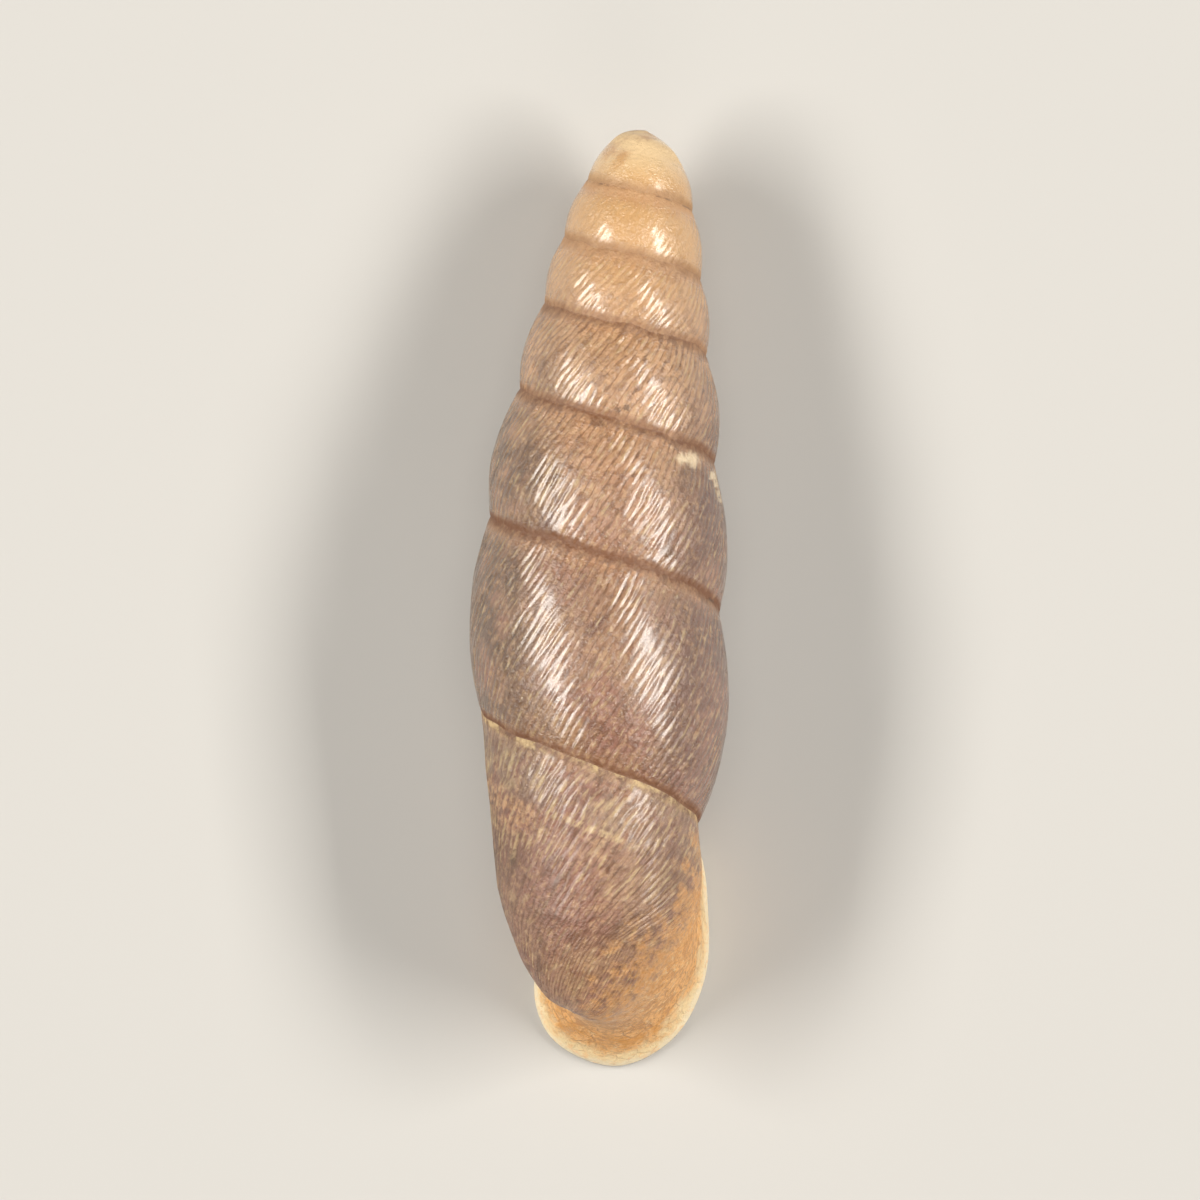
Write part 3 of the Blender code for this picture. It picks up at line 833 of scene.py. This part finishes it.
class ShellPaint(Paint):
    """The shell's own material. Colours are laid over one another, then come its gloss and its grain."""

    def __init__(self):
        super().__init__("satin shell")
        self.at = self.place()
        self.right, self.tipward = self.axis(self.at, "X"), self.axis(self.at, "Y")
        self.turn, self.reach = self.fact("turn"), self.fact("reach")
        self.depth, self.crest = self.fact("depth"), self.fact("crest")
        self.below, self.above = self.fact("below_seam"), self.fact("above_seam")
        self.off_lip = self.step(self.reach, 0.9, 0.4)
        self.last = self.step(self.turn, *LAST_WHORL)
        self.ribbed = self.step(self.turn, *RIBBED_WHORLS)

        self.broad = self.noise(self.at, 0.6, 3, distortion=0.6)
        self.blotch = self.noise(self.at, 1.9, 4, 0.6)
        self.fine = self.noise(self.at, 8.0, 4, 0.65)
        self.ragged = self.noise(self.stretch(self.at, 1.3, 1.1, 1.2), 7.0, 4, 0.65)
        self.seam_noise = self.noise(self.at, 3.2, 4, 0.65)
        along_ribs = self.fact("grain", "Vector")
        self.streak = self.noise(self.stretch(along_ribs, 0.30, 0.7, 0), 1.0, 3, 0.6)
        self.fine_streak = self.noise(self.stretch(along_ribs, 1.1, 3.2, 0), 1.0, 3, 0.65)
        turning = {"Vector": self.at, "Angle": RIB_ANGLE}
        leaning = self.node("ShaderNodeVectorRotate", turning, rotation_type="Z_AXIS").outputs[0]
        self.lean_streak = self.noise(self.stretch(leaning, 7.5, 1.8, 1.8), 1.0, 3, 0.65)

        self.ragged_below = self.frayed(self.below, self.ragged, 0.3)
        self.ragged_above = self.frayed(self.above, self.ragged, 0.2)
        self.colour = self.mix(self.step(self.broad, 0.38, 0.62), PINK_BROWN, TAN_BROWN)

    def tint(self, tone, strength, *where):
        """Lay a colour over what is there, at a strength, where every share is 1."""
        self.colour = self.mix(self.both(*where, strength), self.colour, tone)

    def spot(self, centre, full, faded):
        """1 within a distance of a place on the upper side, in mm, and 0 past another."""
        values = {0: self.stretch(self.at, 1, 1, 0), 1: (*centre, 0)}
        away = self.node("ShaderNodeVectorMath", values, operation="DISTANCE").outputs["Value"]
        near = self.step(self.frayed(away, self.ragged, SPOT_FRAY), faded, full)
        return self.both(near, self.step(self.axis(self.at, "Z"), *SPOT_HEIGHTS))

    def body(self):
        """Brown whorls, honey towards the tip, with painted shade and reflection at the left and right
        edges: greenish brown on the left, purple-grey on the right.
        """
        self.tint(RED_BROWN, 0.7, self.step(self.blotch, 0.48, 0.72))
        self.tint(SPIRE_TAN, 0.75, self.step(self.frayed(self.depth, self.broad, 3.0), *SPIRE))
        self.tint(SPIRE_HONEY, 0.8, self.step(self.depth, *FIRST_WHORLS))
        # Painted shade and reflection: the left and right edges of the whorls are darkened, greenish brown
        # on the left and purple-grey on the right.
        edge_shaded_whorls = self.step(self.depth, *EDGE_SHADED_WHORLS)
        olive_edge_shade = self.maths("ADD", self.step(self.right, *SHADED_LEFT_EDGE), self.step(self.streak, 0.54, 0.76))
        self.tint(OLIVE_BROWN, 1.0, olive_edge_shade, self.step(self.blotch, 0.7, 0.35), edge_shaded_whorls)
        mauve_edge_shade = self.maths("ADD", self.step(self.right, *SHADED_RIGHT_EDGE), self.step(self.streak, 0.44, 0.24))
        less_on_last = self.maths("SUBTRACT", 1, self.both(self.last, 0.6))
        self.tint(MAUVE_EDGE_SHADE, 1.0, mauve_edge_shade, self.step(self.broad, 0.3, 0.55), edge_shaded_whorls, less_on_last)
        shoulder = self.both(self.last, self.step(self.below, 1.0, 0.8), self.off_lip)
        self.tint(BAND_GREY, 0.7, shoulder, self.step(self.blotch, 0.6, 0.4))
        left_patch = self.both(self.last, self.step(self.right, -0.5, -0.9))
        patch_rows = self.both(self.step(self.below, 0.85, 1.0), self.step(self.below, 1.6, 1.2))
        self.tint(SEAM_TAN, 0.8, left_patch, patch_rows, self.step(self.ragged, 0.4, 0.55))
        self.tint(SEAM_TAN, 0.65, self.step(self.ragged_below, 0.36, 0.10), self.step(self.turn, 7.5, 5.8))

    def growth_grain(self):
        """Light and dark grain, streaks along the ribs, valleys between them darkened partly as painted
        shade, and paler crests, partly wear and partly painted highlight.
        """
        darks = self.mix(self.last, self.fine_streak, self.lean_streak)
        in_shaded_valley = self.both(self.step(self.crest, 0.16, 0.0), self.step(self.fine_streak, 0.66, 0.42))
        self.tint(PALE_GRAIN, 0.5, self.step(self.ragged, 0.46, 0.70))
        self.tint(VALLEY_BROWN, 0.4, self.step(darks, 0.50, 0.66), self.ribbed, self.off_lip)
        # Painted shade in the grooves between the ribs, over the shell's own darker lines there.
        self.tint(VALLEY_BROWN, 0.68, in_shaded_valley, self.ribbed, self.off_lip)
        off_tip = self.step(self.depth, 0.5, 4.0)
        self.tint(VALLEY_BROWN, 0.5, self.step(self.fine, 0.44, 0.68), self.off_lip, off_tip)
        crest_wear_and_glint = self.both(self.step(self.crest, 0.35, 0.9), self.step(self.fine_streak, 0.42, 0.62))
        # Paler rib crests: partly wear, partly a painted highlight on the crests.
        self.tint(CREST_CREAM, 0.42, crest_wear_and_glint)
        self.tint(CREST_CREAM, 0.22, self.step(self.lean_streak, 0.46, 0.32), self.last, self.off_lip)

    def seams(self):
        """An ochre line along each seam, partly painted shade in the crease, a band of painted shade above
        it, a cream edge on the last whorl's, partly painted glints, and its faint spiral line.
        """
        patchy = self.step(self.seam_noise, 0.30, 0.52)
        # Painted shade: a brown band along each whorl's lower edge, just above the seam, where it hangs over
        # the next whorl.
        self.tint(SEAM_SHADE_BROWN, 0.5, self.step(self.ragged_above, 0.20, 0.0))
        # The last whorl's cream edge below its seam: partly the shell's pale edge, partly painted glints.
        pale_edge_and_glints = self.both(self.step(self.ragged_below, 0.18, 0.02), self.step(self.turn, 6.2, 6.45))
        self.tint(SEAM_CREAM, 0.9, pale_edge_and_glints, self.step(self.seam_noise, 0.42, 0.62))
        # The seam line is partly the seams' ochre colour and partly painted shade in the crease where one
        # whorl meets the next.
        shoulder_line = self.both(self.step(self.ragged_below, 0.09, 0.0), self.step(self.turn, 6.4, 6.2))
        line = self.maths("MAXIMUM", shoulder_line, self.step(self.ragged_above, 0.13, 0.03))
        stronger = self.maths("ADD", self.both(self.step(self.turn, *OCHRE_SEAMS), 0.8), 0.15)
        self.tint(SEAM_OCHRE_AND_SHADE, 1.0, line, stronger, patchy)
        first_seam = self.both(self.step(self.turn, 0.86, 0.9), self.step(self.turn, 2.1, 2.03))
        dashes = self.both(self.step(self.below, 0.035, 0.015), self.step(self.seam_noise, 0.5, 0.6))
        self.tint(PIT_BROWN, 0.55, first_seam, dashes)
        spiral = self.both(self.step(self.below, 0.84, 0.90), self.step(self.below, 1.0, 0.94))
        on_back = self.both(self.step(self.right, -0.8, -0.5), self.step(self.right, 1.1, 0.3))
        worn = self.both(self.last, self.off_lip, self.step(self.fine_streak, 0.42, 0.58))
        self.tint(CREST_CREAM, 0.5, spiral, on_back, worn)
        self.tint(BODY_SHADE, 0.25)

    def lip(self):
        """The ochre, mottled neck and flare, the cream rim, and the browner way in."""
        mottle = self.noise(self.at, 4.5, 5, 0.7)
        edge = self.frayed(self.reach, mottle, 2.6)
        edge = self.maths("ADD", edge, self.both(self.step(self.right, 1.2, 1.9), 0.45))
        before_mouth = self.both(self.maths("SUBTRACT", self.turn, TURNS), 4.0)
        self.lip_reach = self.maths("ADD", edge, before_mouth)
        self.tint(LIP_TAN, 0.95, self.step(self.lip_reach, -0.6, 0.7))

        self.on_flare = self.both(self.step(self.lip_reach, -0.4, 0.8), self.step(self.reach, 4.2, 2.6))
        crack = self.step(self.cracks(self.at, 3.8), 0.08, 0.0)
        vein = self.both(crack, self.step(self.blotch, 0.38, 0.52), 0.6)
        blot = self.both(self.step(mottle, 0.48, 0.62), 0.6)
        freckle = self.both(self.step(self.noise(self.at, 13, 3, 0.7), 0.52, 0.64), 0.6)
        self.mottling = self.maths("MAXIMUM", self.maths("MAXIMUM", vein, blot), freckle)
        self.tint(LIP_VEIN, 1.0, self.mottling, self.on_flare)
        self.tint(LIP_CREAM, 0.7, self.step(self.noise(self.at, 7, 4, 0.7), 0.56, 0.68), self.on_flare)

        foot = self.both(self.step(self.tipward, -5.6, -6.3), self.step(self.reach, 0.7, 1.2))
        self.tint(STAIN, 0.85, foot, self.step(self.seam_noise, 0.42, 0.6), self.step(self.reach, 4.0, 3.0))
        self.tint(LIP_CREAM, 1.0, self.step(self.frayed(self.lip_reach, self.blotch, 3.5), 1.3, 3.1))
        self.tint(LIP_WHITE, 0.9, self.step(self.lip_reach, 3.0, 4.0))
        self.tint(LIP_TAN, 0.45, self.step(self.fine, 0.5, 0.66), self.step(self.reach, 2.2, 3.2))
        self.tint(LIP_VEIN, 0.3, vein, self.step(self.reach, 0.4, 1.0), self.step(self.reach, 4.8, 3.6))
        self.tint(LIP_TAN, 1.0, self.step(self.reach, 9.0, 11.5))
        self.tint(THROAT_BROWN, 1.0, self.step(self.reach, 12.0, 14.0))

    def ends_and_marks(self):
        """The paler foot and tip, and each worn or dark place of the photograph."""
        foot = self.both(self.step(self.tipward, -5.7, -6.5), self.off_lip)
        self.tint(SEAM_TAN, 0.45, foot, self.step(self.ragged, 0.35, 0.6))
        self.tint(TIP_CREAM, 1.0, self.step(self.depth, 0.9, 0.3), self.step(self.blotch, 0.7, 0.5))
        for (x, y), full, faded, tone in MARKS:
            self.tint(tone, 0.75, self.spot(on_photo(x, y), full, faded))

    def gloss(self):
        """A thin clear coat on the ribbed whorls, and a duller lip, last whorl and seams."""
        near_below, near_above = self.step(self.below, 0.2, 0.06), self.step(self.above, 0.15, 0.05)
        seam_dull = self.maths("MAXIMUM", near_below, near_above)
        lower = self.both(self.step(self.below, 0.5, 1.1), 0.3)
        dull = self.maths("MAXIMUM", self.both(self.last, self.maths("ADD", lower, 0.4)), seam_dull)
        rough = self.maths("ADD", LEAST_ROUGHNESS, self.both(self.fine, GRAIN_ROUGHNESS))
        rough = self.maths("ADD", rough, self.both(dull, DULL_ROUGHNESS))
        no_coat = self.maths("MAXIMUM", dull, self.step(self.lip_reach, -0.4, 0.5))
        inputs = self.surface.inputs
        self.feed(inputs["Base Color"], self.colour)
        self.feed(inputs["Roughness"], rough)
        self.feed(inputs["Coat Weight"], self.both(self.maths("SUBTRACT", 1, no_coat), COAT_WEIGHT))
        inputs["Coat Roughness"].default_value = COAT_ROUGHNESS
        inputs["IOR"].default_value = REFRACTION

    def fine_bumps(self):
        """Grain everywhere, lines along the ribs on the last whorl, and a sunk mottling on the lip."""
        height = self.maths("ADD", self.both(self.noise(self.at, 26, 3, 0.6), 0.5), self.fine)
        height = self.maths("ADD", height, self.both(self.lean_streak, self.last, self.off_lip, 1.4))
        height = self.maths("SUBTRACT", height, self.both(self.mottling, self.on_flare, 0.8))
        values = {"Height": height, "Strength": BUMP_STRENGTH, "Distance": BUMP_HEIGHT * MM}
        self.feed(self.surface.inputs["Normal"], self.node("ShaderNodeBump", values).outputs[0])


def shell_paint():
    paint = ShellPaint()
    paint.body()
    paint.growth_grain()
    paint.seams()
    paint.lip()
    paint.ends_and_marks()
    paint.gloss()
    paint.fine_bumps()
    return paint.material


# The camera's lens, and the stage: a pale table, a dim world, and lamps (place, length and width in metres).
SENSOR_WIDTH = 36
CLIP_NEAR, CLIP_FAR = 0.001, 10
TABLE_HALF = 2.0
TABLE_GREY = srgb(192, 190, 188)
TABLE_ROUGHNESS = 0.7
WORLD_COLOUR = (1.0, 0.97, 0.92, 1)
WORLD_STRENGTH = 0.05
LAMP_WARMTH = (1.0, 0.97, 0.90)
SIDE_LIGHT_OUT, SIDE_LIGHT_AHEAD, SIDE_LIGHT_UP = 0.21, 0.02, 0.20
SIDE_LIGHT_SIZE = (0.20, 0.07)
SIDE_LIGHT_WATTS = 0.82
TOP_LIGHT_PLACE = (0.0, 0.04, 0.35)
TOP_LIGHT_WATTS = 0.21
LIP_LIGHT_PLACE = (0.04, -0.24, 0.15)
LIP_LIGHT_WATTS = 0.10
FILL_LIGHT_SIZE = (0.15, 0.15)


def floor_paint():
    paint = Paint("pale table")
    paint.surface.inputs["Base Color"].default_value = TABLE_GREY
    paint.surface.inputs["Roughness"].default_value = TABLE_ROUGHNESS
    return paint.material


def make_camera():
    data = bpy.data.cameras.new("camera")
    data.sensor_width = SENSOR_WIDTH
    data.lens = data.sensor_width * CAMERA_HEIGHT / (PHOTO_SIDE / PX_PER_MM * MM)
    data.clip_start = CLIP_NEAR
    data.clip_end = CLIP_FAR
    camera = bpy.data.objects.new("camera", data)
    camera.location = (AIM[0] * MM, AIM[1] * MM, CAMERA_HEIGHT)
    camera.rotation_euler = (0, 0, LEAN)
    bpy.context.scene.collection.objects.link(camera)
    bpy.context.scene.camera = camera


def soft_light(name, place, size, watts, is_mirrored=True):
    """An oblong lamp that faces the shell, its length level. It may be kept out of the shell's gloss."""
    data = bpy.data.lights.new(name, "AREA")
    data.shape = "RECTANGLE"
    data.size, data.size_y = size
    data.energy = watts
    data.color = LAMP_WARMTH
    lamp = bpy.data.objects.new(name, data)
    lamp.location = place
    lamp.rotation_euler = (-Vector(place)).to_track_quat("-Z", "Y").to_euler()
    lamp.visible_camera = False
    lamp.visible_glossy = is_mirrored
    bpy.context.scene.collection.objects.link(lamp)


def make_stage():
    mesh = bpy.data.meshes.new("table")
    half = TABLE_HALF
    corners = [(-half, -half, 0), (half, -half, 0), (half, half, 0), (-half, half, 0)]
    mesh.from_pydata(corners, [], [(0, 1, 2, 3)])
    table = bpy.data.objects.new("table", mesh)
    table.data.materials.append(floor_paint())
    bpy.context.scene.collection.objects.link(table)
    world = bpy.data.worlds.new("studio")
    bpy.context.scene.world = world
    world.use_nodes = True
    background = world.node_tree.nodes["Background"]
    background.inputs["Color"].default_value = WORLD_COLOUR
    background.inputs["Strength"].default_value = WORLD_STRENGTH
    c, s = math.cos(LEAN), math.sin(LEAN)
    for name, side in (("left light", -1), ("right light", 1)):
        out = side * SIDE_LIGHT_OUT
        place = (out * c, out * s + SIDE_LIGHT_AHEAD, SIDE_LIGHT_UP)
        soft_light(name, place, SIDE_LIGHT_SIZE, SIDE_LIGHT_WATTS)
    soft_light("top light", TOP_LIGHT_PLACE, FILL_LIGHT_SIZE, TOP_LIGHT_WATTS, is_mirrored=False)
    soft_light("lip light", LIP_LIGHT_PLACE, FILL_LIGHT_SIZE, LIP_LIGHT_WATTS, is_mirrored=False)
    bpy.context.scene.view_settings.view_transform = "Standard"


make_camera()
make_stage()
shell = make_shell()
shell.data.materials.append(shell_paint())
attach(shell, "root")
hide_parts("shell")
